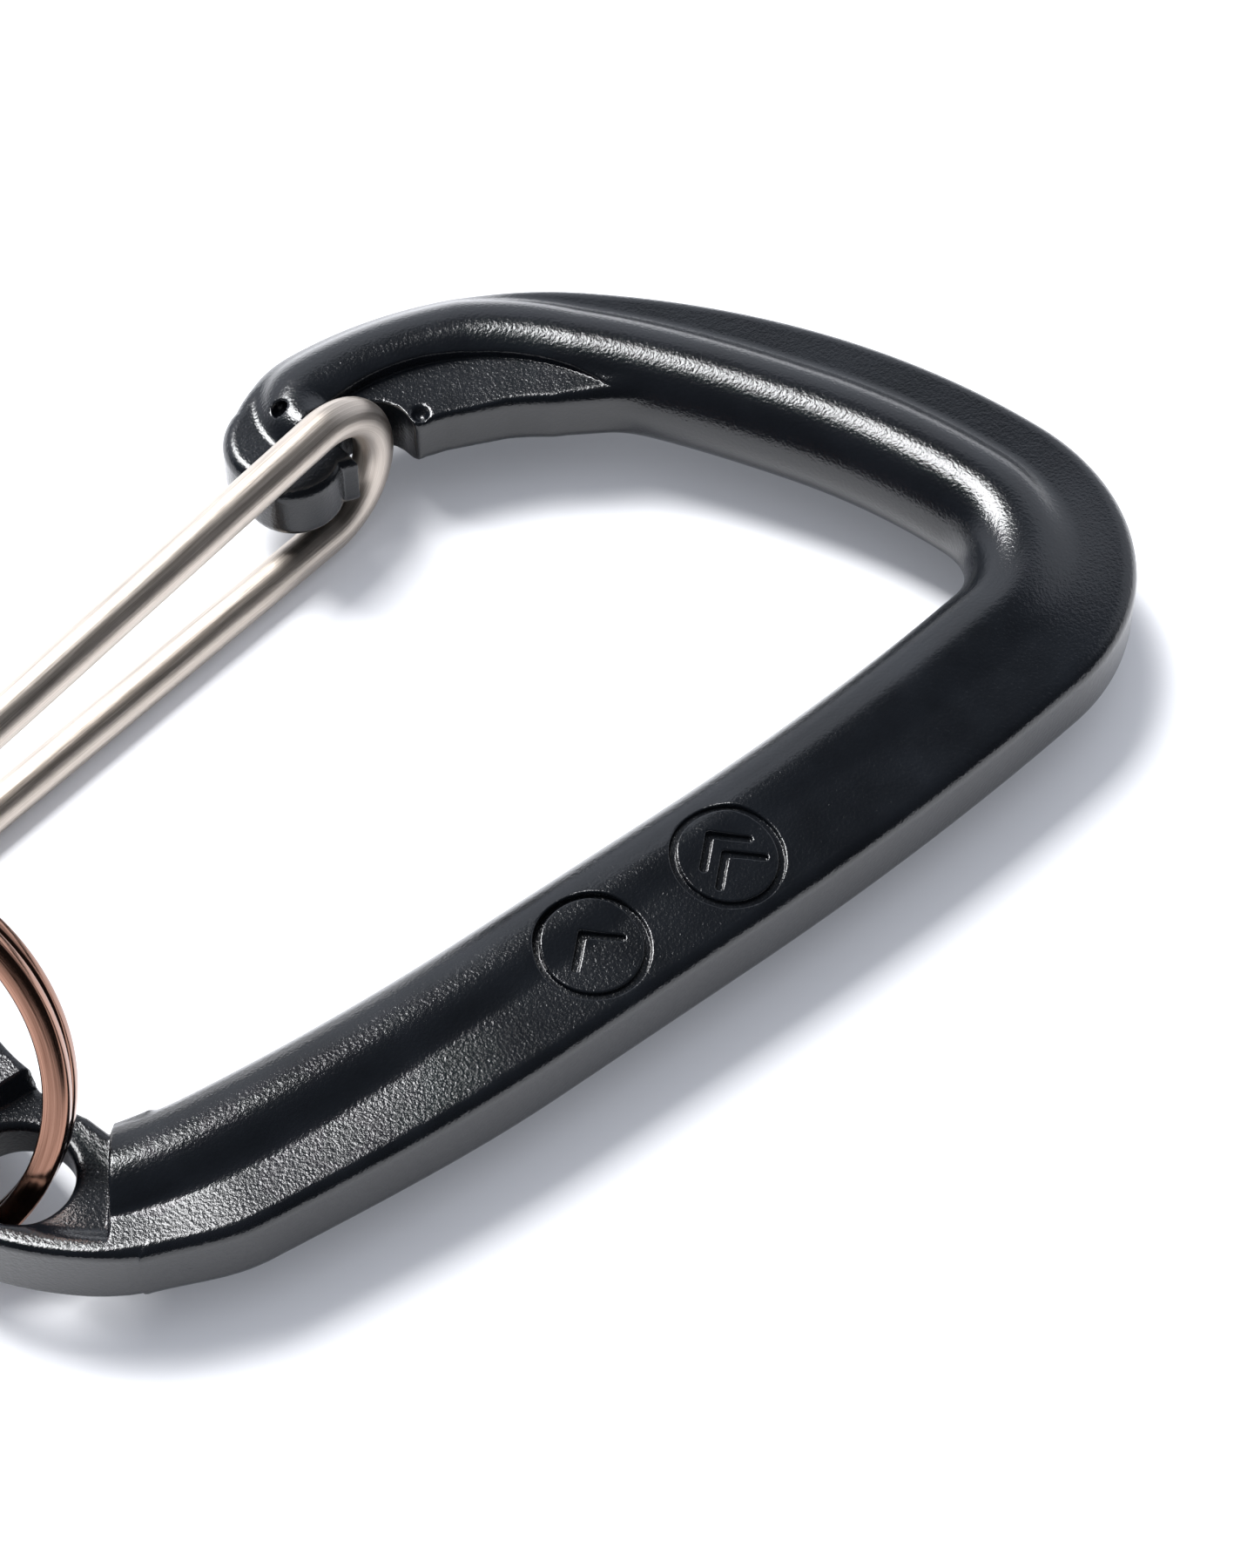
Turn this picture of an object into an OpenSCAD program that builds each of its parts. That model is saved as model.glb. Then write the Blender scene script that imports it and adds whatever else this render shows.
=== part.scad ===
// Wire-gate carabiner, forged body, with a split key ring through its tab.
// +X runs along the spine towards the rope basket, +Y points from the spine
// to the gate, +Z is up. The origin is the centre of the rope basket's inside
// radius, on the mid-plane of the body. Sizes are millimetres.

/* [Body] */
// Diameter of the round rod that carries the load
rod_d = 7; // [6.6:0.1:7.2]
// Inside radius of the rope basket
basket_r = 4; // [3.7:0.1:4.3]
// Thickness of the flat flange outside the rod
flange_t = 4.4; // [4:0.1:4.8]
// Thickness of the spine's outer edge
spine_edge_t = 5; // [4.6:0.1:5.2]
// Thickness of the spine's web where it meets the rod
web_t = 6; // [5.6:0.1:6.2]
// Thickness of the nose hook that the wire loop closes over
nose_t = 4.2; // [3.8:0.1:4.6]
// Thickness of the tab that carries the key ring
tab_t = 3; // [2.6:0.1:3.2]
// Thickness of the knuckle that carries the gate
knuckle_t = 6; // [5.6:0.1:6.2]
// Radius of the rounded end of the knuckle
knuckle_r = 4; // [3.6:0.1:4.4]

/* [Gate] */
// Diameter of the gate wire
wire_d = 2.5; // [2.3:0.1:2.6]
// Distance between the centres of the upper and the lower strand
strand_gap = 9.2; // [9:0.1:9.6]
// Diameter of the holes that the wire's ends turn in
pivot_bore_d = 2.6; // [2.6:0.02:2.7]

/* [Key ring] */
// Diameter of the ring's centre circle
ring_d = 24; // [23:0.5:25]
// Width of the flat ring wire, along the ring's radius
ring_wire_w = 1.5; // [1.3:0.1:1.6]
// Thickness of one coil, along the ring's axis
ring_wire_t = 1.1; // [0.9:0.1:1.2]
// Diameter of the hole in the tab
ring_hole_d = 6.4; // [6.2:0.1:6.6]
// Lean of the ring's plane from lying flat
ring_lean = 117.8; // [112:0.2:122]
// Direction of the ring's chord through the hole, seen from above
ring_yaw = 130.9; // [128:0.1:134]

/* [Hidden] */
$fn = 96;
eps = 0.01;
big = 40;

rod_r = rod_d / 2;
wire_r = wire_d / 2;
path_r = basket_r + rod_r;

// A path is a list of stretches, each [length, turn in degrees], and every join is smooth.
// The rod's centreline runs from the tab, round the basket and up to the nose.
TAB_HEADING = -21;
CORNER = 4;
CORNER_TURN = 93;
ROD_PATH = [
    [5.5, 14],
    [18, 7],
    [14, 0],
    [25, 7],
    [path_r * CORNER_TURN * PI / 180, CORNER_TURN],
    [27.2, 36],
    [15, 44],
    [8, 35]
];
// Distance from the rod's centreline to the outer edge, at each end of each stretch
REACH = [5.6, 6.4, 6.75, 6.75, 6.8, 6.6, 6.2, 6.1, 4];
// Half thickness of the flange's outer edge, and of the web beside the rod, at the same places
EDGE = [flange_t / 2, flange_t / 2, spine_edge_t / 2, spine_edge_t / 2, spine_edge_t / 2,
    flange_t / 2, flange_t / 2, nose_t / 2, nose_t / 2];
WEB = [EDGE[0], EDGE[1], web_t / 2, web_t / 2, web_t / 2, EDGE[5], EDGE[6], EDGE[7], EDGE[8]];
// How many straight pieces each stretch of the forging is drawn with
STATIONS = [2, 2, 1, 3, 8, 7, 5];
steps = 6;
chamfer = 0.8;
web_root = 0.3;
rod_cut = 0.2;
// Round bars stop just short of each other, inside a joint that stands just proud of them
bar_trim = 0.04;
joint_rise = 0.02;

function along(a) = [cos(a), sin(a)];
function right_of(a) = [sin(a), -cos(a)];
// Step taken along a stretch that starts at heading h, over the share s of it
function step(h, stretch, s) =
    stretch[1] == 0 ? stretch[0] * s * along(h)
    : stretch[0] * 180 / (PI * stretch[1])
        * [sin(h + stretch[1] * s) - sin(h), cos(h) - cos(h + stretch[1] * s)];
// Heading and place at the start of stretch i of a path that starts at [0, 0], heading h
function turned(path, h, i) = i == 0 ? h : turned(path, h, i - 1) + path[i - 1][1];
function walked(path, h, i) =
    i == 0 ? [0, 0]
    : walked(path, h, i - 1) + step(turned(path, h, i - 1), path[i - 1], 1);
function heading(i) = turned(ROD_PATH, TAB_HEADING, i);
// The basket's corner is an arc about the origin, and that fixes where the path starts
path_start = path_r * right_of(heading(CORNER)) - walked(ROD_PATH, TAB_HEADING, CORNER);
function ease(s) = (1 - cos(180 * s)) / 2;
// Value of one of these lists at the share s of stretch i
function between(list, i, s) = list[i] + (list[i + 1] - list[i]) * ease(s);
function reach(i, s) = between(REACH, i, s);
// A point beside the rod's centreline; a positive distance is on the outer side
function beside(i, s, d) =
    path_start + walked(ROD_PATH, TAB_HEADING, i) + step(heading(i), ROD_PATH[i], s)
    + d * right_of(heading(i) + ROD_PATH[i][1] * s);
function arc(c, r, a0, a1, n) = [for (k = [0:n]) c + r * along(a0 + (a1 - a0) * k / n)];

// Places, in the frame of the part
ring_hole = [-65.3, -3.2];
ring_pass = [-65.3, -3.7];
pivot = [-68, 18];
tab_top = 0.9;
outer_c = [-52.4, 4.6];
outer_r = 19.6;
inner_c = [-48.5, 3.6];
inner_r = 13;
nose_c = [-22.6, 30.6];
nose_r = 4.35;
toe_c = [-23.7, 29.2];
toe_r = 3.15;
slot_c = [-18.3, 27.9];
slot_r = 2.25;
slot_left_y = 26.4;
slot_right_y = 27.1;
slot_open_y = 20;
nose_root = 0.62;
relief_c = [-17.3, 18.2];
relief_r = 12.4;
knuckle_corner = [-61.5, 11.6];

// Marks engraved in the sloping top of the spine
mark_at = [-32.8, -11.6, 2.65];
mark_step = 9.7;
mark_tilt = 7.1;
mark_r = 3.3;
groove_w = 0.45;
peak_gap = 1.4;

// Gate: its line from the pivot to the notch
gate_angle = 12.02;
loop_r = strand_gap / 2;
pin_bend_r = 1.6;
pin_gap = 0.5;
// Each strand bows to its own side of that line, with a knee near the pivot
gate_len = 51.1;
knee = [7, -1.1];

// Ring: half its chord in the mid-plane, and its centre's distance from it
ring_r = ring_d / 2;
ring_chord = 10.19;
ring_off = sqrt(ring_r * ring_r - ring_chord * ring_chord);

// ---------- shared shapes ----------

// Straight round bar between two points at height z
module bar(from, to, z, r) {
    d = to - from;
    a = atan2(d[1], d[0]);
    translate(concat(from + bar_trim * along(a), z))
        rotate([0, 90, a])
            cylinder(r = r, h = norm(d) - 2 * bar_trim);
}

// Round joint between two bars
module joint(at, r) {
    translate(at)
        sphere(r + joint_rise);
}

module slab(points, t) {
    translate([0, 0, -t / 2])
        linear_extrude(t)
            polygon(points);
}

// ---------- carabiner body ----------

// Cross-section of the forging as [distance outwards, height]: round rod on the inner
// side, web, and flange with a broken edge
function section(i, s) =
    let (edge = between(EDGE, i, s), web = between(WEB, i, s), out = reach(i, s), root = rod_r - web_root)
    concat(
        [for (a = [60:20:300]) rod_r * along(a)],
        [[root, -web], [out - chamfer, -edge], [out, chamfer - edge],
         [out, edge - chamfer], [out - chamfer, edge], [root, web]]
    );

// The rod and flange from the tab to the nose, swept along the rod's path
module forged_strap() {
    stations = concat(
        [for (i = [0:6], k = [0:STATIONS[i] - 1]) [i, k / STATIONS[i]]],
        [[7, 0], [7, rod_cut]]
    );
    n = len(section(0, 0));
    last = len(stations) - 1;
    points = [for (at = stations, p = section(at[0], at[1]))
        concat(beside(at[0], at[1], p[0]), p[1])];
    sides = [for (j = [0:last - 1], k = [0:n - 1])
        let (a = j * n + k, b = j * n + (k + 1) % n) [[a, b, b + n], [a, b + n, a + n]]];
    polyhedron(points, concat(
        [[for (k = [n - 1:-1:0]) k]],
        [for (pair = sides, face = pair) face],
        [[for (k = [0:n - 1]) last * n + k]]
    ));
}

// Flat tab with the key ring hole, from the end of the rod to the knuckle
module tab() {
    root = 0.1;
    slab(concat(
        [beside(0, root, REACH[0] - 0.4)],
        arc(outer_c, outer_r, 234, 180 + asin((outer_c[1] - tab_top) / outer_r), 8),
        arc(inner_c, inner_r, 180 + asin((inner_c[1] - tab_top) / inner_r), 207, 5),
        [beside(0, root, 0.4 - rod_r)]
    ), tab_t);
}

// Thick knuckle at the end of the tab, round about the gate's pivot
module knuckle() {
    slab(concat(
        arc(outer_c, outer_r, 180 + asin((outer_c[1] - tab_top) / outer_r), 180, 4),
        arc(pivot, knuckle_r, 180, 0, 16),
        [knuckle_corner],
        arc(inner_c, inner_r, 180, 180 + asin((inner_c[1] - tab_top) / inner_r), 3)
    ), knuckle_t);
}

function notch_edge() = concat(
    [[slot_c[0] - slot_r, slot_left_y]],
    arc(slot_c, slot_r, 180, 0, 10),
    [[slot_c[0] + slot_r, slot_right_y]]
);

// Flat hook beyond the rod's end, with the slot that the gate's loop closes into
module nose() {
    slab(concat(
        [for (k = [0:steps]) beside(6, k / steps, reach(6, k / steps))],
        [for (k = [1:steps / 2]) beside(7, k / steps, reach(7, k / steps))],
        arc(nose_c, nose_r, 115, 188, 7),
        arc(toe_c, toe_r, 182, 310, 12),
        notch_edge(),
        [beside(6, nose_root, -rod_r), beside(6, nose_root / 2, -rod_r), beside(6, 0, 0)]
    ), nose_t);
}

// The same slot, cut through the rod
module notch() {
    slab(concat(
        notch_edge(),
        [[slot_c[0] + slot_r, slot_open_y], [slot_c[0] - slot_r, slot_open_y]]
    ), big);
}

// Flats cut into both sides of the rod so that the wire loop can pass
module loop_relief() {
    for (z = [nose_t / 2, -nose_t / 2 - big])
        translate([0, 0, z])
            linear_extrude(big)
                polygon(concat([relief_c], arc(relief_c, relief_r, -10, 130, 20)));
}

// Round engraved mark with plain peaks in it
module mark(peaks) {
    w = 1.7;
    low = groove_w - 0.5;
    difference() {
        cylinder(r = mark_r, h = 1);
        translate([0, 0, -eps])
            cylinder(r = mark_r - groove_w, h = 1 + 2 * eps);
    }
    for (k = [1:peaks])
        translate([0, peak_gap * (k - peaks / 2) - 1, 0])
            linear_extrude(1)
                polygon([[-w, -0.5], [0, 1], [w, -0.5], [w, low], [0, groove_w + 1], [-w, low]]);
}

// The first mark has one peak and the second has two
module marks() {
    for (peaks = [1, 2])
        translate(mark_at + [mark_step * (peaks - 1), 0, 0])
            rotate([mark_tilt, 0, 0])
                mark(peaks);
}

module carabiner_body() {
    color("#1d1f22")
        difference() {
            union() {
                forged_strap();
                nose();
                tab();
                knuckle();
            }
            translate(concat(ring_hole, -big / 2))
                cylinder(d = ring_hole_d, h = big);
            translate(concat(pivot, -big / 2))
                cylinder(d = pivot_bore_d, h = big);
            notch();
            loop_relief();
            marks();
        }
}

// ---------- wire gate ----------

// Turn of wire in an upright plane along the gate
module upright_bend(r, from, angle) {
    trim = bar_trim * 180 / (PI * r);
    rotate([90, 0, 0])
        rotate([0, 0, from + trim])
            rotate_extrude(angle = angle - 2 * trim)
                translate([r, 0])
                    circle(wire_r);
}

// Upper strand, from its pivot pin to the start of the loop
module strand() {
    pin_top = loop_r - pin_bend_r;
    bend_end = [pin_bend_r, 0];
    loop_start = [gate_len - loop_r, 0];
    translate([0, 0, pin_gap / 2])
        cylinder(r = wire_r, h = pin_top - pin_gap / 2 - bar_trim);
    translate([pin_bend_r, 0, pin_top])
        upright_bend(pin_bend_r, 90, 90);
    bar(bend_end, knee, loop_r, wire_r);
    bar(knee, loop_start, loop_r, wire_r);
    joint([0, 0, pin_top], wire_r);
    for (at = [bend_end, knee, loop_start])
        joint(concat(at, loop_r), wire_r);
}

module wire_gate() {
    color("#b9b4ab")
        translate(concat(pivot, 0))
            rotate([0, 0, gate_angle]) {
                strand();
                rotate([180, 0, 0])
                    strand();
                translate([gate_len - loop_r, 0, 0])
                    upright_bend(loop_r, -90, 180);
            }
}

// ---------- split ring ----------

// One flat coil of wire with broken edges
module coil() {
    w = ring_wire_w / 2;
    t = ring_wire_t / 2;
    edge = 0.3;
    rotate_extrude()
        translate([ring_r, 0])
            polygon([
                [-w, edge - t], [edge - w, -t], [w - edge, -t], [w, edge - t],
                [w, t - edge], [w - edge, t], [edge - w, t], [-w, t - edge]
            ]);
}

module split_ring() {
    color("#c79a84")
        translate(concat(ring_pass, 0))
            rotate([0, 0, ring_yaw])
                rotate([ring_lean, 0, 0])
                    translate([ring_chord, ring_off, 0])
                        for (side = [-1, 1])
                            translate([0, 0, side * (ring_wire_t / 2 - eps)])
                                coil();
}

carabiner_body();
wire_gate();
split_ring();
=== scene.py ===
import math

import bmesh
import bpy
import numpy as np
from mathutils import Matrix, Vector


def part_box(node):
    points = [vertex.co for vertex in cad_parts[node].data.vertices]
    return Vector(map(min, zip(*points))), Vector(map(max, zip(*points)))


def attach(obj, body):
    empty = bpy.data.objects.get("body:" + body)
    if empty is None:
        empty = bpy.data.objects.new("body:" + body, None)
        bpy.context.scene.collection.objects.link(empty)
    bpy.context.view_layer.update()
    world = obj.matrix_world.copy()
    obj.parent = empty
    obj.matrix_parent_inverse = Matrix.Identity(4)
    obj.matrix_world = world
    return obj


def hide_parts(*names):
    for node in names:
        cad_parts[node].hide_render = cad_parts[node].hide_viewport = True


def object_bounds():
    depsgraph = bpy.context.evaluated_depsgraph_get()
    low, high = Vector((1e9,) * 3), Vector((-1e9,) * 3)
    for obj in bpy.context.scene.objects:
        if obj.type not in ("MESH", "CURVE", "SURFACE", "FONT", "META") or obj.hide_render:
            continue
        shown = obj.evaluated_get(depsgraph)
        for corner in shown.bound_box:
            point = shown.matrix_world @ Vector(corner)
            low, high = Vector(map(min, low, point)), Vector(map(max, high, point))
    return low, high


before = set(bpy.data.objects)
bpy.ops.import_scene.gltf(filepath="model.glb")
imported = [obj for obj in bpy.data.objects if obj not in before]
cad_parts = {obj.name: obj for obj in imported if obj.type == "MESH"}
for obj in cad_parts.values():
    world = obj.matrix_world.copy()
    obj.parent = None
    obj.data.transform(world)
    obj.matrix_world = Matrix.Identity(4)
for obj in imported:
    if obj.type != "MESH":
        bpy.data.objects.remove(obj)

MM = 0.001
CAD_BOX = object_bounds()

# ---------- the body's sizes in millimetres, origin at the rope basket's corner ----------

ROD_R = 3.5
PATH_R = 7.5
TAB_HEADING = -21
# Length and turn in degrees of each stretch of the rod's path, from the tab to the nose
STRETCHES = [
    (5.5, 14), (18, 7), (14, 0), (25, 7), (PATH_R * math.radians(93), 93),
    (27.2, 36), (15, 44), (8, 35),
]
CORNER = 4
# Values at each end of each stretch: how far the flange reaches out from the path, its height at the
# edge, how steeply it climbs towards the rod, the fillet along the rod, the rounding of its edge
REACH = [5.6, 6.4, 6.75, 6.75, 6.8, 6.6, 6.2, 6.1, 4]
EDGE = [2.2, 2.3, 2.45, 2.5, 2.5, 2.2, 2.2, 2.1, 2.1]
SLOPE = [0, 0.02, 0.12, 0.18, 0.16, 0, 0, 0, 0]
BLEND = [0.25, 0.6, 0.5, 0.4, 0.9, 0.5, 0.5, 0.6, 0.6]
ROUND = [0.75, 0.8, 0.9, 0.9, 1.0, 1.1, 1.1, 1.0, 0.9]
# Stations where the rod and the flange end
ROD_END = 7.12
FLANGE_END = 7.25
# Over these stations the rod leans outwards, and the flange grows under all of the rod
LEAN = 2.8
LEAN_FROM, LEAN_TO = 5.45, 6.6
INNER_LIP = 0.6
LIP_FROM, LIP_TO = 5.5, 6.1
# The flat wall at which the rod stops above the tab
WALL = np.array([-61.2, -6.2])
WALL_HEADING = -36

# Places in plan
RING_HOLE = np.array([-65.3, -3.2])
RING_HOLE_R = 3.12
RING_PASS = np.array([-65.3, -3.7])
PIVOT = np.array([-68.0, 18.0])
BORE_R = 1.3
# The tab: its height at the wall, how its top climbs away from there, the distances from its edge over
# which the raised rim falls, the rounding of its edge, and where the knuckle begins and its height
TAB_H = 1.35
TAB_CLIMB, TAB_CLIMB_MOST = 0.085, 0.75
RIM_OUTER, RIM_INNER = 0.9, 2.1
TAB_EDGE = 0.45
KNUCKLE_Y, KNUCKLE_H = 0.9, 3.0
KNUCKLE_R = 4
KNUCKLE_CORNER = np.array([-61.5, 11.6])
# Arcs of the outline: outside and inside of the tab, side and toe of the nose
OUTER_C, OUTER_R = np.array([-52.4, 4.6]), 19.6
INNER_C, INNER_R = np.array([-48.5, 3.6]), 13.0
NOSE_C, NOSE_R = np.array([-22.6, 30.6]), 4.35
TOE_C, TOE_R = np.array([-23.7, 29.2]), 3.15
# Flat beside the slot: centre and radius of its arc, height at the arc, tilt
RELIEF_C, RELIEF_R = np.array([-17.3, 18.2]), 12.8
RELIEF_H, RELIEF_TILT = 2.1, 0.09
# Pits that the forging die left where the rod runs out, and beside the slot: centre and radius
PITS = [((-22.3, 32.0, 2.75), 0.6), ((-15.3, 27.3, 1.75), 0.5)]


def along(a):
    return np.array([math.cos(math.radians(a)), math.sin(math.radians(a))])


def right_of(a):
    return np.array([math.sin(math.radians(a)), -math.cos(math.radians(a))])


def step(h, length, turn, s):
    if turn == 0:
        return length * s * along(h)
    r = length / math.radians(turn)
    a, b = math.radians(h), math.radians(h + turn * s)
    return r * np.array([math.sin(b) - math.sin(a), math.cos(a) - math.cos(b)])


def laid_out():
    """Start and heading of each stretch, with the basket's corner centred on the origin."""
    starts, headings, p, h = [], [], np.zeros(2), TAB_HEADING
    for length, turn in STRETCHES:
        starts.append(p)
        headings.append(h)
        p = p + step(h, length, turn, 1)
        h += turn
    shift = PATH_R * right_of(headings[CORNER]) - starts[CORNER]
    return [q + shift for q in starts], headings


STARTS, HEADINGS = laid_out()


def beside(u, d):
    i = min(int(u), len(STRETCHES) - 1)
    length, turn = STRETCHES[i]
    s = u - i
    return STARTS[i] + step(HEADINGS[i], length, turn, s) + d * right_of(HEADINGS[i] + turn * s)


def arc(c, r, a0, a1, n):
    return [c + r * along(a0 + (a1 - a0) * k / n) for k in range(n + 1)]


# ---------- distance fields ----------


def smin(a, b, k):
    """Union of two distance fields with a fillet of about size k."""
    h = np.maximum(k - np.abs(a - b), 0) / k
    return np.minimum(a, b) - h * h * k / 4


def smax(a, b, k):
    return -smin(-a, -b, k)


def ramp(lo, hi, v):
    t = np.clip((v - lo) / (hi - lo), 0, 1)
    return t * t * (3 - 2 * t)


def at_station(values, u):
    i = np.clip(u.astype(int), 0, len(values) - 2)
    s = u - i
    e = (1 - np.cos(math.pi * s)) / 2
    v = np.array(values, float)
    return v[i] + (v[i + 1] - v[i]) * e


def locate(x, y, last):
    """Station on the rod's path nearest to each point, and distance to its outer side."""
    best_u = np.zeros_like(x)
    best_d = np.full_like(x, 1e9)
    for i, (length, turn) in enumerate(STRETCHES):
        end = min(1.0, last - i)
        if end <= 0:
            break
        p, h = STARTS[i], HEADINGS[i]
        qx, qy = x - p[0], y - p[1]
        if turn == 0:
            a, r = along(h), right_of(h)
            s = np.clip((qx * a[0] + qy * a[1]) / length, 0, end)
            fx, fy = length * s * a[0], length * s * a[1]
            rx, ry = r[0], r[1]
        else:
            radius = length / math.radians(turn)
            c = -radius * right_of(h)
            ang = np.degrees(np.arctan2(qy - c[1], qx - c[0])) + 90 - h
            mid = turn * end / 2
            ang = (ang - mid + 180) % 360 - 180 + mid
            s = np.clip(ang / turn, 0, end)
            a = np.radians(h + turn * s)
            rx, ry = np.sin(a), -np.cos(a)
            fx, fy = c[0] + radius * rx, c[1] + radius * ry
        d = np.hypot(qx - fx, qy - fy)
        side = np.where((qx - fx) * rx + (qy - fy) * ry < 0, -1.0, 1.0)
        near = d < np.abs(best_d)
        best_u = np.where(near, i + s, best_u)
        best_d = np.where(near, side * d, best_d)
    return best_u, best_d


def outline(x, y, points):
    """Signed distance to a closed outline in plan, negative inside."""
    best = np.full_like(x, 1e18)
    inside = np.zeros(x.shape, bool)
    for a, b in zip(points, points[1:] + points[:1]):
        ex, ey = b[0] - a[0], b[1] - a[1]
        wx, wy = x - a[0], y - a[1]
        t = np.clip((wx * ex + wy * ey) / (ex * ex + ey * ey + 1e-12), 0, 1)
        best = np.minimum(best, (wx - t * ex) ** 2 + (wy - t * ey) ** 2)
        if a[1] != b[1]:
            crosses = (a[1] > y) != (b[1] > y)
            inside ^= crosses & (x < ex * (y - a[1]) / ey + a[0])
    d = np.sqrt(best)
    return np.where(inside, -d, d)


def chain(x, y, points):
    """Distance to an open line of points."""
    best = np.full_like(x, 1e18)
    for a, b in zip(points, points[1:]):
        ex, ey = b[0] - a[0], b[1] - a[1]
        wx, wy = x - a[0], y - a[1]
        t = np.clip((wx * ex + wy * ey) / (ex * ex + ey * ey), 0, 1)
        best = np.minimum(best, (wx - t * ex) ** 2 + (wy - t * ey) ** 2)
    return np.sqrt(best)


def flange_edge(u, inset=0):
    return beside(u, at_station(REACH, np.array([u]))[0] - inset)


TAB_LINE = (
    [flange_edge(0.6 - k / 10, 0.02) for k in range(6)]
    + arc(OUTER_C, OUTER_R, 234, 180, 24)
    + arc(PIVOT, KNUCKLE_R, 180, 0, 24)
    + [KNUCKLE_CORNER]
    + arc(INNER_C, INNER_R, 180, 207, 12)
    + [beside(0.1, -3.1), beside(0.6, -3.1)]
)
SLOT_C, SLOT_R = np.array([-18.3, 27.9]), 2.25
SLOT_LINE = [SLOT_C + (-SLOT_R, -1.5)] + arc(SLOT_C, SLOT_R, 180, 0, 24) + [SLOT_C + (SLOT_R, -0.8)]
NOSE_LINE = (
    [flange_edge(6 + k / 12) for k in range(19)]
    + arc(NOSE_C, NOSE_R, 115, 188, 20)
    + arc(TOE_C, TOE_R, 182, 310, 24)
    + SLOT_LINE
    + [beside(6.62, -ROD_R), beside(6.3, -ROD_R), beside(6.0, 0)]
)
SLOT_CUT = SLOT_LINE + [SLOT_C + (SLOT_R, -7.6), SLOT_C + (-SLOT_R, -7.6)]

# Two round marks on the spine, one with one plain peak in it and one with two: radius of the circle,
# half the groove's width, its depth, and the peaks' half width, height and spacing
MARKS = [(np.array([9.7 * n - 42.5, -11.55]), n) for n in (1, 2)]
MARK_R = 3.08
GROOVE = 0.2
MARK_DEPTH = 0.3
PEAK_W, PEAK_H, PEAK_GAP = 1.65, 1.45, 1.4


def past(x, y, start, heading):
    """How far points lie past a line through start, square to heading."""
    a = along(heading)
    return (x - start[0]) * a[0] + (y - start[1]) * a[1]


def plan(x, y):
    """Everything about the body that depends only on a point's place in plan."""
    m = {}
    u, d = locate(x, y, 8)
    ahead = past(x, y, STARTS[0], TAB_HEADING)
    past_wall = past(x, y, WALL, WALL_HEADING)
    m["past_wall"] = past_wall
    reach = at_station(REACH, u)
    lean = np.minimum(LEAN * ramp(LEAN_FROM, LEAN_TO, u), reach - ROD_R - 0.05)
    m["rod_d"] = locate(x, y, ROD_END)[1] - np.maximum(lean, 0)
    edge = at_station(EDGE, u)
    slope = at_station(SLOPE, u)
    inner = INNER_LIP + (ROD_R - INNER_LIP) * ramp(LIP_FROM, LIP_TO, u)
    beyond = 8 * (u - FLANGE_END)
    strap = np.maximum(np.maximum(d - reach, -inner - d), np.maximum(-ahead, beyond))
    tab = outline(x, y, TAB_LINE)
    nose = outline(x, y, NOSE_LINE)
    m["plate"] = np.minimum(np.minimum(strap, tab), nose)
    crown = np.clip(reach - 0.8 - d, 0, reach - 1.4)
    strap_h = edge + slope * crown
    from_edge = np.minimum(
        OUTER_R - np.hypot(x - OUTER_C[0], y - OUTER_C[1]),
        chain(x, y, [beside(0.0, 6.0), OUTER_C + OUTER_R * along(234)]) + 0.2,
    )
    rise = np.clip(TAB_CLIMB * (STARTS[0][0] - x), 0, TAB_CLIMB_MOST)
    rim = ramp(RIM_INNER, RIM_OUTER, from_edge)
    tab_h = TAB_H + rise
    tab_h = tab_h + (strap_h - tab_h) * rim
    knuckle = ramp(KNUCKLE_Y - 0.15, KNUCKLE_Y + 0.4, y)
    tab_h = tab_h + (KNUCKLE_H - tab_h) * knuckle
    on_strap = ramp(-0.08, 0.08, past_wall)
    m["under"] = rise * (1 - rim) * (1 - knuckle) * (1 - on_strap)
    m["h"] = tab_h + (strap_h - tab_h) * on_strap
    m["round"] = TAB_EDGE + (at_station(ROUND, u) - TAB_EDGE) * ramp(-3, 1, ahead)
    m["blend"] = at_station(BLEND, u)
    m["slot"] = outline(x, y, SLOT_CUT)
    m["relief"] = np.hypot(x - RELIEF_C[0], y - RELIEF_C[1]) - RELIEF_R
    m["ring_hole"] = np.hypot(x - RING_HOLE[0], y - RING_HOLE[1]) - RING_HOLE_R
    m["bore"] = np.hypot(x - PIVOT[0], y - PIVOT[1]) - BORE_R
    lines = np.full_like(x, 9.0)
    for c, peaks in MARKS:
        qx, qy = x - c[0], y - c[1]
        lines = np.minimum(lines, np.abs(np.hypot(qx, qy) - MARK_R) - GROOVE)
        for k in range(peaks):
            low = PEAK_GAP * (k - peaks / 2) + 0.15
            peak = [(-PEAK_W, low), (0, low + PEAK_H), (PEAK_W, low)]
            lines = np.minimum(lines, chain(qx, qy, peak) - GROOVE)
    m["lines"] = lines
    return m


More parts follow.
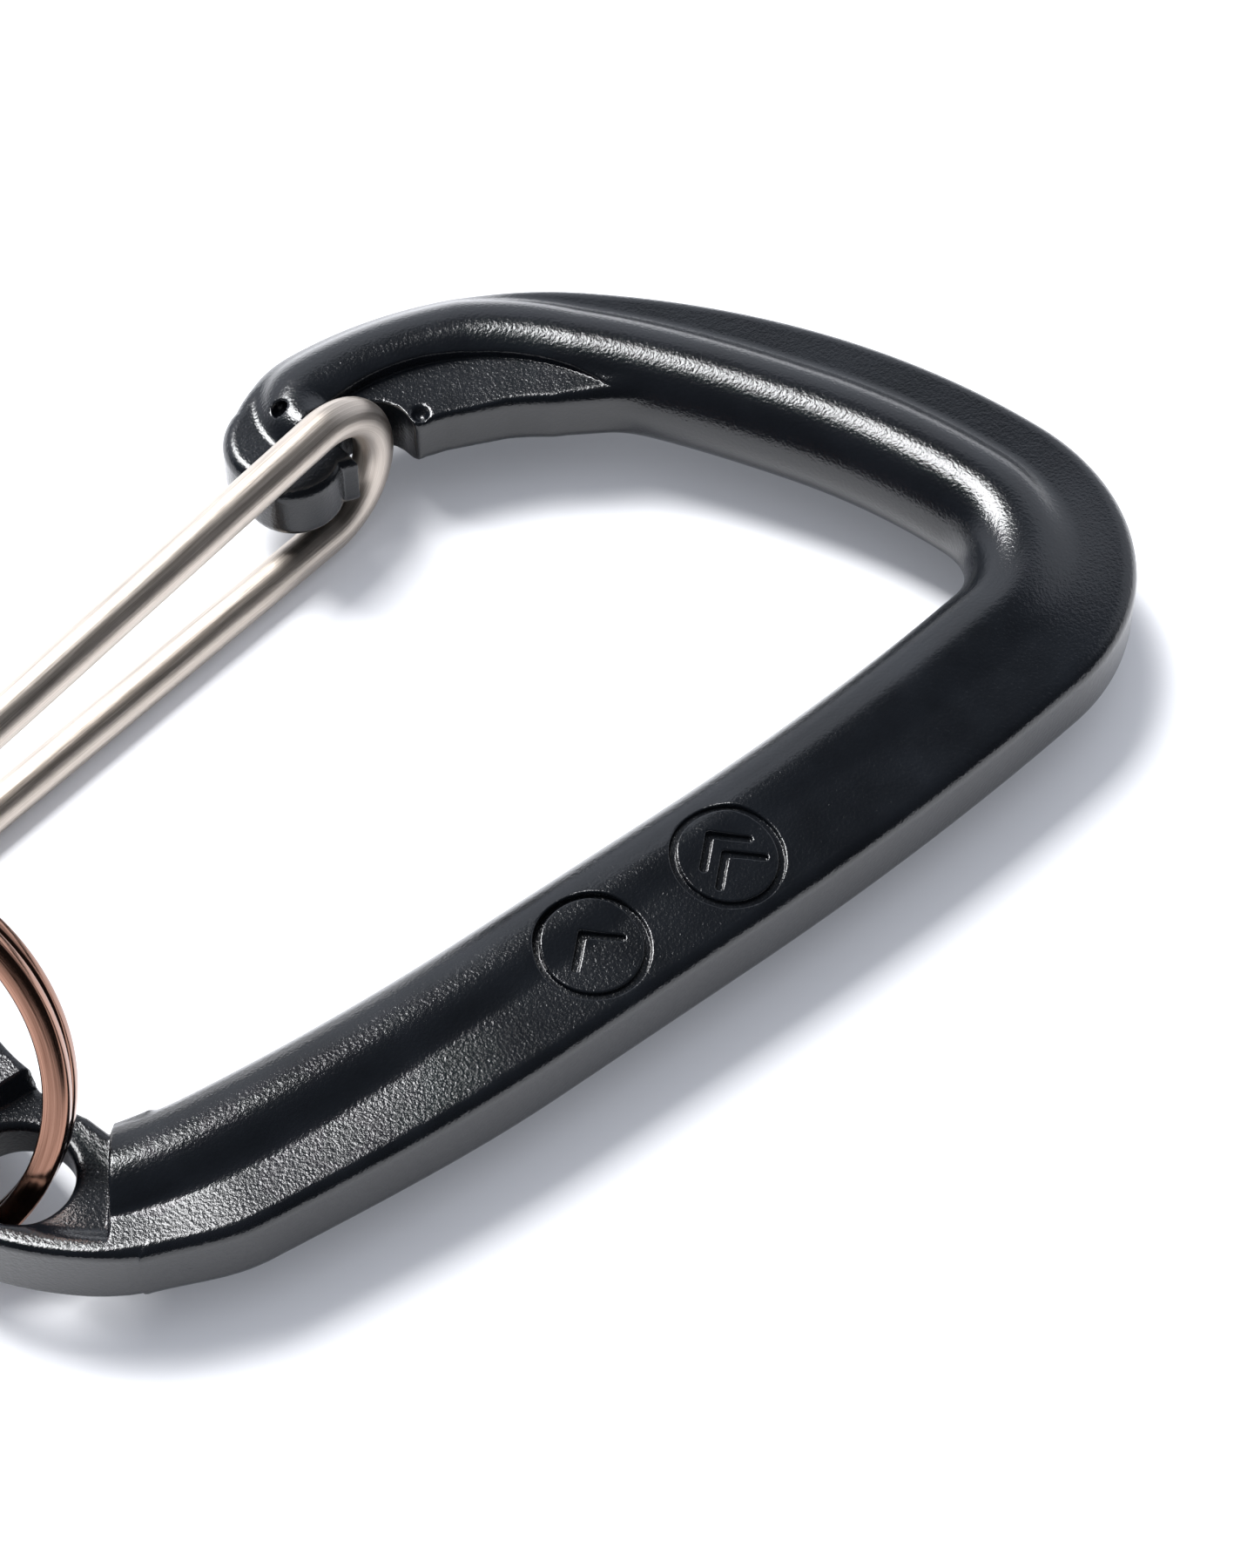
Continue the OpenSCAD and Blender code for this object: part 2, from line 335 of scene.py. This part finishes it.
def body(m, x, y, z):
    """Signed distance to the forged body."""
    up = np.abs(z)
    r = m["round"]
    # the tab's underside is level, and only its top slopes
    a, b = m["plate"] + r, up - m["h"] + m["under"] * (z < 0) + r
    plate = np.minimum(np.maximum(a, b), 0) + np.hypot(np.maximum(a, 0), np.maximum(b, 0)) - r
    rod = smax(np.hypot(m["rod_d"], z) - ROD_R, -m["past_wall"], 0.2)
    f = smin(plate, rod, m["blend"])
    f = smax(f, -m["slot"], 0.3)
    above_relief = RELIEF_H + RELIEF_TILT * m["relief"] - up
    f = smax(f, -np.maximum(m["relief"], above_relief), 0.14)
    f = smax(f, -m["ring_hole"], 0.6)
    f = smax(f, -m["bore"], 0.2)
    for (cx, cy, cz), cr in PITS:
        pit = np.sqrt((x - cx) ** 2 + (y - cy) ** 2 + (up - cz) ** 2) - cr
        f = smax(f, -pit, 0.3)
    groove = np.maximum(m["lines"], m["h"] - MARK_DEPTH - z)
    return smax(f, -groove, 0.12)


def body_at(p):
    return body(plan(p[:, 0], p[:, 1]), p[:, 0], p[:, 1], p[:, 2])


def gradient(p, e=0.02):
    g = np.empty_like(p)
    for k in range(2):
        o = np.zeros(3)
        o[k] = e
        g[:, k] = (body_at(p + o) - body_at(p - o)) / (2 * e)
    m = plan(p[:, 0], p[:, 1])
    g[:, 2] = (body(m, p[:, 0], p[:, 1], p[:, 2] + e) - body(m, p[:, 0], p[:, 1], p[:, 2] - e)) / (2 * e)
    return g


def settle(p, rounds, reach):
    """Moves points onto the surface, no further than reach each round."""
    for _ in range(rounds):
        g = gradient(p)
        move = -g * (body_at(p) / np.maximum((g * g).sum(1), 1e-6))[:, None]
        size = np.linalg.norm(move, axis=1)
        move *= np.minimum(1, reach / np.maximum(size, 1e-9))[:, None]
        p = p + move
    return p


def surface_nets(f, origin, h):
    """Points and quads of the surface where a gridded field crosses zero."""
    inside = f < 0
    nx, ny, nz = f.shape
    count = np.zeros((nx - 1, ny - 1, nz - 1), np.int8)
    for i in (0, 1):
        for j in (0, 1):
            for k in (0, 1):
                count += inside[i:nx - 1 + i, j:ny - 1 + j, k:nz - 1 + k]
    cells = np.argwhere((count > 0) & (count < 8))
    number = np.full(count.shape, -1, np.int64)
    number[tuple(cells.T)] = np.arange(len(cells))
    total = np.zeros((len(cells), 3))
    hits = np.zeros(len(cells))
    corners = [np.array(c) for c in np.ndindex(2, 2, 2)]
    for a in corners:
        for axis in range(3):
            if a[axis]:
                continue
            b = a.copy()
            b[axis] = 1
            fa = f[tuple((cells + a).T)]
            fb = f[tuple((cells + b).T)]
            cut = (fa < 0) != (fb < 0)
            t = np.where(cut, fa / np.where(cut, fa - fb, 1), 0)
            total += np.where(cut[:, None], a + t[:, None] * (b - a), 0)
            hits += cut
    points = origin + h * (cells + total / hits[:, None])
    quads = []
    for axis in range(3):
        lo = [slice(1, n - 1) for n in f.shape]
        hi = list(lo)
        lo[axis] = slice(0, f.shape[axis] - 1)
        hi[axis] = slice(1, f.shape[axis])
        a, b = inside[tuple(lo)], inside[tuple(hi)]
        at = np.argwhere(a != b)
        going_out = a[tuple(at.T)]
        at = at + np.array([0 if k == axis else 1 for k in range(3)])
        s, t = [(axis + 1) % 3, (axis + 2) % 3]
        es, et = np.eye(3, dtype=int)[s], np.eye(3, dtype=int)[t]
        ring = [number[tuple((at + o).T)] for o in (-es - et, -et, 0 * es, -es)]
        q = np.stack(ring, 1)
        q[~going_out] = q[~going_out][:, ::-1]
        quads.append(q)
    return points, np.vstack(quads)


def new_object(name, points, faces, body_name, slot_name, *nodes):
    mesh = bpy.data.meshes.new(name)
    corners = [tuple(p) for p in np.asarray(points) * MM]
    mesh.from_pydata(corners, [], [tuple(map(int, f)) for f in faces])
    mesh.polygons.foreach_set("use_smooth", [True] * len(mesh.polygons))
    mesh.update()
    obj = bpy.data.objects.new(name, mesh)
    bpy.context.scene.collection.objects.link(obj)
    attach(obj, body_name)
    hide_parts(*nodes)
    return obj


def forged_body():
    h = 0.2
    lo = np.array([-73.2, -16.9, -4.1])
    hi = np.array([14.9, 37.5, 4.1])
    axes = [np.arange(lo[k], hi[k] + h, h) for k in range(3)]
    x, y = np.meshgrid(axes[0], axes[1], indexing="ij")
    m = {k: v[:, :, None] for k, v in plan(x, y).items()}
    f = body(m, x[:, :, None], y[:, :, None], axes[2][None, None, :])
    points, quads = surface_nets(f, lo, h)
    points = settle(points, 3, h / 2)
    obj = new_object("forged_body", points, quads, "frame", "anodised_body", "carabiner_body")
    refine_marks(obj)
    return obj


def refine_marks(obj):
    """Splits the faces round the marks, so that their narrow grooves come out crisp."""
    bm = bmesh.new()
    bm.from_mesh(obj.data)
    edges = set()
    for face in bm.faces:
        c = face.calc_center_median() / MM
        if c.z > 0 and any(math.hypot(c.x - m[0], c.y - m[1]) < MARK_R + 0.6 for m, _ in MARKS):
            edges.update(face.edges)
    bmesh.ops.subdivide_edges(bm, edges=list(edges), cuts=2, use_grid_fill=True)
    bm.to_mesh(obj.data)
    bm.free()
    n = len(obj.data.vertices)
    co = np.empty(n * 3)
    obj.data.vertices.foreach_get("co", co)
    p = co.reshape(-1, 3) / MM
    near = np.zeros(n, bool)
    for c, _ in MARKS:
        near |= np.hypot(p[:, 0] - c[0], p[:, 1] - c[1]) < MARK_R + 1.2
    near &= p[:, 2] > 0
    p[near] = settle(p[near], 4, 0.06)
    obj.data.vertices.foreach_set("co", (p * MM).ravel())
    g = gradient(p)
    g /= np.maximum(np.linalg.norm(g, axis=1), 1e-9)[:, None]
    obj.data.polygons.foreach_set("use_smooth", [True] * len(obj.data.polygons))
    obj.data.update()
    obj.data.normals_split_custom_set_from_vertices([tuple(v) for v in g])


# ---------- wire gate and key ring ----------

# Gate: radius of its wire, of the loop at the nose, and of the bends at the pins; where it points in
# plan, its length from the pins, and the place beside the pins where each strand turns
WIRE_R = 1.25
LOOP_R = 4.6
PIN_BEND = 1.6
GATE_ANGLE = 12.02
GATE_LEN = 51.1
KNEE = np.array([7.0, -1.1])


def rounded_corner(a, b, c, r, n):
    """Points of an arc of radius r that rounds the corner at b."""
    u = (a - b) / np.linalg.norm(a - b)
    v = (c - b) / np.linalg.norm(c - b)
    half = math.acos(np.clip(u @ v, -1, 1)) / 2
    back = r / math.tan(half)
    centre = b + (u + v) / np.linalg.norm(u + v) * r / math.sin(half)
    s, e = b + u * back - centre, b + v * back - centre
    angle = math.acos(np.clip(s @ e / r / r, -1, 1))
    return [
        centre + (math.sin(angle * (1 - t)) * s + math.sin(angle * t) * e) / math.sin(angle)
        for t in np.linspace(0, 1, n)
    ]


def gate_line():
    """Centreline of the gate wire, from the upper pin round the loop to the lower pin."""
    top = LOOP_R - PIN_BEND
    pts = [np.array([0, 0, 0.25]), np.array([0, 0, 1.2]), np.array([0, 0, top - 0.05])]
    for a in np.linspace(180, 90, 14):
        pts.append(np.array([PIN_BEND, 0, top]) + PIN_BEND * np.array([*along(a)[:1], 0, along(a)[1]]))
    start = pts[-1]
    knee = np.array([KNEE[0], KNEE[1], LOOP_R])
    loop = np.array([GATE_LEN - LOOP_R, 0, LOOP_R])
    pts += rounded_corner(start, knee, loop, 14, 10)
    far = pts[-1]
    pts += [far + (loop - far) * t for t in np.linspace(0.08, 0.97, 24)]
    half = pts
    turn = [np.array([GATE_LEN - LOOP_R, 0, 0]) + LOOP_R * np.array([math.cos(a), 0, math.sin(a)])
            for a in np.linspace(math.pi / 2, -math.pi / 2, 41)]
    back = [p * np.array([1, -1, -1]) for p in reversed(half)]
    line = np.array(half + turn + back)
    turned = Matrix.Rotation(math.radians(GATE_ANGLE), 3, "Z")
    return np.array([turned @ Vector(p) for p in line]) + np.array([*PIVOT, 0])


def swept(line, section, normal_hint):
    """Points, quads and the length along the line at each row, of a closed section swept along an open
    line.
    """
    tangent = np.gradient(line, axis=0)
    tangent /= np.linalg.norm(tangent, axis=1)[:, None]
    n = normal_hint - tangent[0] * (normal_hint @ tangent[0])
    rows, lengths, run = [], [], 0.0
    for i, (p, t) in enumerate(zip(line, tangent)):
        if i:
            run += np.linalg.norm(p - line[i - 1])
        n = n - t * (n @ t)
        n /= np.linalg.norm(n)
        b = np.cross(t, n)
        rows.append([p + n * s[0] + b * s[1] for s in section])
        lengths.append(run)
    k = len(section)
    points = np.array(rows).reshape(-1, 3)
    faces = []
    for i in range(len(line) - 1):
        for j in range(k):
            a, b = i * k + j, i * k + (j + 1) % k
            faces.append((a, b, b + k, a + k))
    return points, faces, lengths


def with_ends(points, faces, k, line, inset):
    """Closes a swept tube with slightly domed ends."""
    n = len(points)
    for base, tip, nxt in ((0, line[0], line[1]), (n - k, line[-1], line[-2])):
        out = (tip - nxt) / np.linalg.norm(tip - nxt)
        ring = points[base:base + k]
        inner = tip + (ring - tip) * 0.8 + out * inset
        start = len(points)
        points = np.vstack([points, inner, [tip + out * inset * 1.05]])
        for j in range(k):
            a, b = base + j, base + (j + 1) % k
            c, d = start + j, start + (j + 1) % k
            quad, fan = (a, c, d, b), (c, start + k, d)
            if base:
                quad, fan = quad[::-1], fan[::-1]
            faces.append(quad)
            faces.append(fan)
    return points, faces


def mark_grain(obj, k, rows, lengths):
    """Stores each point's length along the wire and angle round it, for the drawn grain."""
    n = len(obj.data.vertices)
    v = np.zeros((n, 3))
    for i in range(rows):
        a = 2 * math.pi * np.arange(k) / k
        v[i * k:(i + 1) * k, 0] = lengths[i] * MM
        v[i * k:(i + 1) * k, 1] = np.cos(a)
        v[i * k:(i + 1) * k, 2] = np.sin(a)
    layer = obj.data.attributes.new("grain", "FLOAT_VECTOR", "POINT")
    layer.data.foreach_set("vector", v.ravel())


def wire_gate():
    k = 36
    line = gate_line()
    angles = [2 * math.pi * j / k for j in range(k)]
    circle = [(WIRE_R * math.cos(a), WIRE_R * math.sin(a)) for a in angles]
    points, faces, lengths = swept(line, circle, np.array([1.0, 0.3, 0]))
    points, faces = with_ends(points, faces, k, line, 0.2)
    obj = new_object("wire_gate_loop", points, faces, "gate", "gate_wire", "wire_gate")
    mark_grain(obj, k, len(line), lengths)
    return obj


# Ring: radius of its middle, half the width and height of its wire, gap between its two layers
RING_R = 12.0
RING_W = 0.75
RING_T = 0.55
RING_GAP = 0.015
# Where the winding starts, and the angles over which it crosses to the other layer
RING_START = 96
CROSS_FROM, CROSS_OVER = 338, 44
# How the ring passes through the tab's hole
RING_CHORD = 10.19
RING_LEAN = 117.8
RING_YAW = 130.9


def squared(v):
    """Pushes a cosine or sine outwards, which turns a circle into a rounded square."""
    return math.copysign(abs(v) ** 0.45, v)


def split_ring():
    """One flattened wire wound twice, with a crossover where it changes layer."""
    k = 24
    section = []
    for j in range(k):
        a = 2 * math.pi * (j + 0.5) / k
        c, s = squared(math.cos(a)), squared(math.sin(a))
        section.append((RING_W * c, (RING_T - RING_GAP) * s))
    rows, lengths = [], []
    turns = np.radians(np.linspace(24, 696, 561))
    for a in turns:
        e_r = np.array([*along(math.degrees(a) + RING_START), 0])
        t = min(max((math.degrees(a) - CROSS_FROM) / CROSS_OVER, 0), 1)
        z = RING_T * (2 * t * t * (3 - 2 * t) - 1)
        rows.append([e_r * (RING_R + w) + np.array([0, 0, z + h]) for w, h in section])
        lengths.append(RING_R * a)
    points = np.array(rows).reshape(-1, 3)
    faces = []
    n = len(turns)
    for i in range(n - 1):
        for j in range(k):
            a, b = i * k + j, i * k + (j + 1) % k
            faces.append((a, a + k, b + k, b))
    faces.append(tuple(range(k)))
    faces.append(tuple(range(n * k - 1, (n - 1) * k - 1, -1)))
    off = math.sqrt(RING_R ** 2 - RING_CHORD ** 2)
    place = (
        Matrix.Translation((RING_PASS[0], RING_PASS[1], 0))
        @ Matrix.Rotation(math.radians(RING_YAW), 4, "Z")
        @ Matrix.Rotation(math.radians(RING_LEAN), 4, "X")
        @ Matrix.Translation((RING_CHORD, off, 0))
    )
    points = np.array([place @ Vector(p) for p in points])
    obj = new_object("split_key_ring", points, faces, "key_ring", "ring_wire", "split_ring")
    mark_grain(obj, k, n, lengths)
    return obj


# ---------- materials ----------


class Nodes:
    """Short hand for building a material's node tree."""

    def __init__(self, name):
        self.mat = bpy.data.materials.new(name)
        self.mat.use_nodes = True
        self.tree = self.mat.node_tree
        self.shader = self.tree.nodes["Principled BSDF"]

    def add(self, kind, **inputs):
        node = self.tree.nodes.new(kind)
        for key, value in inputs.items():
            if key in node.inputs.keys() or key.replace("_", " ") in node.inputs.keys():
                self.put(value, node.inputs[key.replace("_", " ")])
            else:
                setattr(node, key, value)
        return node

    def put(self, value, socket):
        if isinstance(value, bpy.types.NodeSocket):
            self.tree.links.new(value, socket)
        else:
            socket.default_value = value

    def noise(self, where, scale, detail=2.0, rough=0.5):
        values = {"Vector": where, "Scale": scale, "Detail": detail, "Roughness": rough}
        return self.add("ShaderNodeTexNoise", **values).outputs["Fac"]

    def spread(self, value, lo, hi, a=0.0, b=1.0):
        node = self.add("ShaderNodeMapRange", Value=value)
        for key, v in (("From Min", a), ("From Max", b), ("To Min", lo), ("To Max", hi)):
            node.inputs[key].default_value = v
        return node.outputs["Result"]

    def colour(self, value, stops):
        node = self.add("ShaderNodeValToRGB", Fac=value)
        marks = node.color_ramp.elements
        for i, (at, c) in enumerate(stops):
            stop = marks[i] if i < 2 else marks.new(at)
            stop.position = at
            stop.color = (*c, 1)
        return node.outputs["Color"]

    def bump(self, height, distance, strength, normal=None):
        node = self.add("ShaderNodeBump", Height=height, Distance=distance, Strength=strength)
        if normal is not None:
            self.put(normal, node.inputs["Normal"])
        return node.outputs["Normal"]

    def set(self, **inputs):
        for key, value in inputs.items():
            self.put(value, self.shader.inputs[key.replace("_", " ")])


def anodised_black():
    n = Nodes("black_anodised")
    where = n.add("ShaderNodeTexCoord").outputs["Object"]
    grain = n.noise(where, 4800, 2.0, 0.6)
    fine = n.noise(where, 11000, 1.0)
    cloud = n.noise(where, 220, 3.0, 0.55)
    tint = n.colour(cloud, [(0.3, (0.0028, 0.0034, 0.0045)), (0.7, (0.0046, 0.0056, 0.0074))])
    bump = n.bump(grain, 0.00004, 0.65)
    bump = n.bump(fine, 0.00001, 0.35, bump)
    n.set(
        Base_Color=tint,
        Roughness=n.spread(cloud, 0.165, 0.195, 0.3, 0.7),
        IOR=1.5,
        Normal=bump,
    )
    return n.mat


def drawn_steel():
    n = Nodes("drawn_stainless")
    grain = n.add("ShaderNodeAttribute", attribute_name="grain").outputs["Vector"]
    long = n.add("ShaderNodeVectorMath", operation="MULTIPLY")
    n.put(grain, long.inputs[0])
    long.inputs[1].default_value = (90, 14, 14)
    lines = n.noise(long.outputs[0], 1.6, 4.0, 0.65)
    where = n.add("ShaderNodeTexCoord").outputs["Object"]
    spots = n.noise(where, 5200, 2.0)
    tint = n.colour(lines, [(0.3, (0.41, 0.355, 0.305)), (0.7, (0.66, 0.6, 0.54))])
    n.set(
        Base_Color=tint,
        Metallic=1.0,
        Roughness=n.spread(lines, 0.3, 0.44, 0.3, 0.7),
        Normal=n.bump(spots, 0.00001, 0.25, n.bump(lines, 0.00004, 0.35)),
    )
    return n.mat


def polished_ring():
    n = Nodes("polished_ring_steel")
    grain = n.add("ShaderNodeAttribute", attribute_name="grain").outputs["Vector"]
    long = n.add("ShaderNodeVectorMath", operation="MULTIPLY")
    n.put(grain, long.inputs[0])
    long.inputs[1].default_value = (60, 6, 6)
    lines = n.noise(long.outputs[0], 2.0, 3.0, 0.6)
    tint = n.colour(lines, [(0.3, (0.15, 0.075, 0.052)), (0.7, (0.36, 0.2, 0.145))])
    n.set(
        Base_Color=tint,
        Metallic=1.0,
        Roughness=n.spread(lines, 0.09, 0.18, 0.3, 0.7),
        Normal=n.bump(lines, 0.00002, 0.25),
    )
    return n.mat


def pale_floor():
    n = Nodes("pale_floor")
    where = n.add("ShaderNodeTexCoord").outputs["Object"]
    tint = n.colour(n.noise(where, 40), [(0.3, (0.74, 0.74, 0.75)), (0.7, (0.76, 0.76, 0.77))])
    n.set(Base_Color=tint, Roughness=0.75)
    n.shader.inputs["Specular IOR Level"].default_value = 0.2
    return n.mat


# ---------- floor, light, camera ----------


def direction(azimuth, elevation):
    """Unit vector towards a place that far round from +X and that far above the horizon."""
    a, e = math.radians(azimuth), math.radians(elevation)
    return Vector((math.cos(a) * math.cos(e), math.sin(a) * math.cos(e), math.sin(e)))


def soft_box(name, azimuth, elevation, distance, size, watts, colour):
    data = bpy.data.lights.new(name, "AREA")
    data.shape = "RECTANGLE"
    data.size, data.size_y = size
    data.energy = watts
    data.color = colour
    lamp = bpy.data.objects.new(name, data)
    bpy.context.scene.collection.objects.link(lamp)
    d = direction(azimuth, elevation)
    centre = (CAD_BOX[0] + CAD_BOX[1]) / 2
    lamp.location = centre + d * distance
    lamp.rotation_mode = "QUATERNION"
    lamp.rotation_quaternion = (-d).to_track_quat("-Z", "Y")
    return lamp


def floor(material):
    z = min(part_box(n)[0].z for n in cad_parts) - 0.05 * MM
    s = 3.0
    mesh = bpy.data.meshes.new("floor")
    mesh.from_pydata([(-s, -s, z), (s, -s, z), (s, s, z), (-s, s, z)], [], [(0, 1, 2, 3)])
    mesh.materials.append(material)
    obj = bpy.data.objects.new("floor", mesh)
    bpy.context.scene.collection.objects.link(obj)


CAMERA_AZIMUTH, CAMERA_ELEVATION = 231, 52
CAMERA_AIM = (-20.5, 0.6, -4.6)
CAMERA_DISTANCE = 231.96


def camera():
    """The photograph's view: 52 degrees above the floor, from the tab's end of the spine."""
    cam = bpy.data.objects.new("camera", bpy.data.cameras.new("camera"))
    bpy.context.scene.collection.objects.link(cam)
    back = direction(CAMERA_AZIMUTH, CAMERA_ELEVATION)
    cam.location = (Vector(CAMERA_AIM) + back * CAMERA_DISTANCE) * MM
    cam.rotation_mode = "QUATERNION"
    cam.rotation_quaternion = (-back).to_track_quat("-Z", "Y")
    cam.data.lens = 90
    cam.data.clip_start = 0.01
    bpy.context.scene.camera = cam


KEY = {
    "azimuth": 99,
    "elevation": 58,
    "distance": 1.2,
    "size": (0.5, 0.8),
    "watts": 36,
    "colour": (0.985, 0.99, 1),
}
# Where the pale backdrop stands, the sines of the elevations over which it ends, and how bright
# it, the rest of the studio and the even fill are
BACKDROP_WAY = (0.63, 0.78, 0)
BACKDROP_TOP = (0.65, 0.75)
BACKDROP_GLOW = 0.9
STUDIO_GLOW = 0.03
FILL_GLOW = 0.95


def sky(tree):
    """A dark studio with a pale backdrop behind the object, and an even glow that lights the floor."""
    add = tree.nodes.new
    background = tree.nodes["Background"]
    path = add("ShaderNodeLightPath")
    where = add("ShaderNodeTexCoord").outputs["Generated"]
    split = add("ShaderNodeSeparateXYZ")
    tree.links.new(where, split.inputs[0])
    behind = add("ShaderNodeVectorMath")
    behind.operation = "DOT_PRODUCT"
    tree.links.new(where, behind.inputs[0])
    behind.inputs[1].default_value = BACKDROP_WAY

    def spread(value, a, b, lo, hi):
        node = add("ShaderNodeMapRange")
        node.interpolation_type = "SMOOTHSTEP"
        tree.links.new(value, node.inputs["Value"])
        for key, v in (("From Min", a), ("From Max", b), ("To Min", lo), ("To Max", hi)):
            node.inputs[key].default_value = v
        return node.outputs["Result"]

    backdrop = add("ShaderNodeMath")
    backdrop.operation = "MULTIPLY"
    tree.links.new(spread(behind.outputs["Value"], 0.05, 0.5, 0, 1), backdrop.inputs[0])
    tree.links.new(spread(split.outputs["Z"], *BACKDROP_TOP, BACKDROP_GLOW, 0), backdrop.inputs[1])
    dim = add("ShaderNodeMath")
    tree.links.new(backdrop.outputs[0], dim.inputs[0])
    dim.inputs[1].default_value = STUDIO_GLOW
    mixed = add("ShaderNodeMix")
    tree.links.new(path.outputs["Is Diffuse Ray"], mixed.inputs["Factor"])
    tree.links.new(dim.outputs[0], mixed.inputs["A"])
    mixed.inputs["B"].default_value = FILL_GLOW
    tree.links.new(mixed.outputs["Result"], background.inputs["Strength"])
    background.inputs["Color"].default_value = (0.87, 0.91, 1, 1)


def light():
    scene = bpy.context.scene
    scene.view_settings.view_transform = "Standard"
    world = bpy.data.worlds.new("studio")
    scene.world = world
    world.use_nodes = True
    sky(world.node_tree)
    soft_box("key", **KEY)


forged_body().data.materials.append(anodised_black())
wire_gate().data.materials.append(drawn_steel())
split_ring().data.materials.append(polished_ring())
floor(pale_floor())
light()
camera()
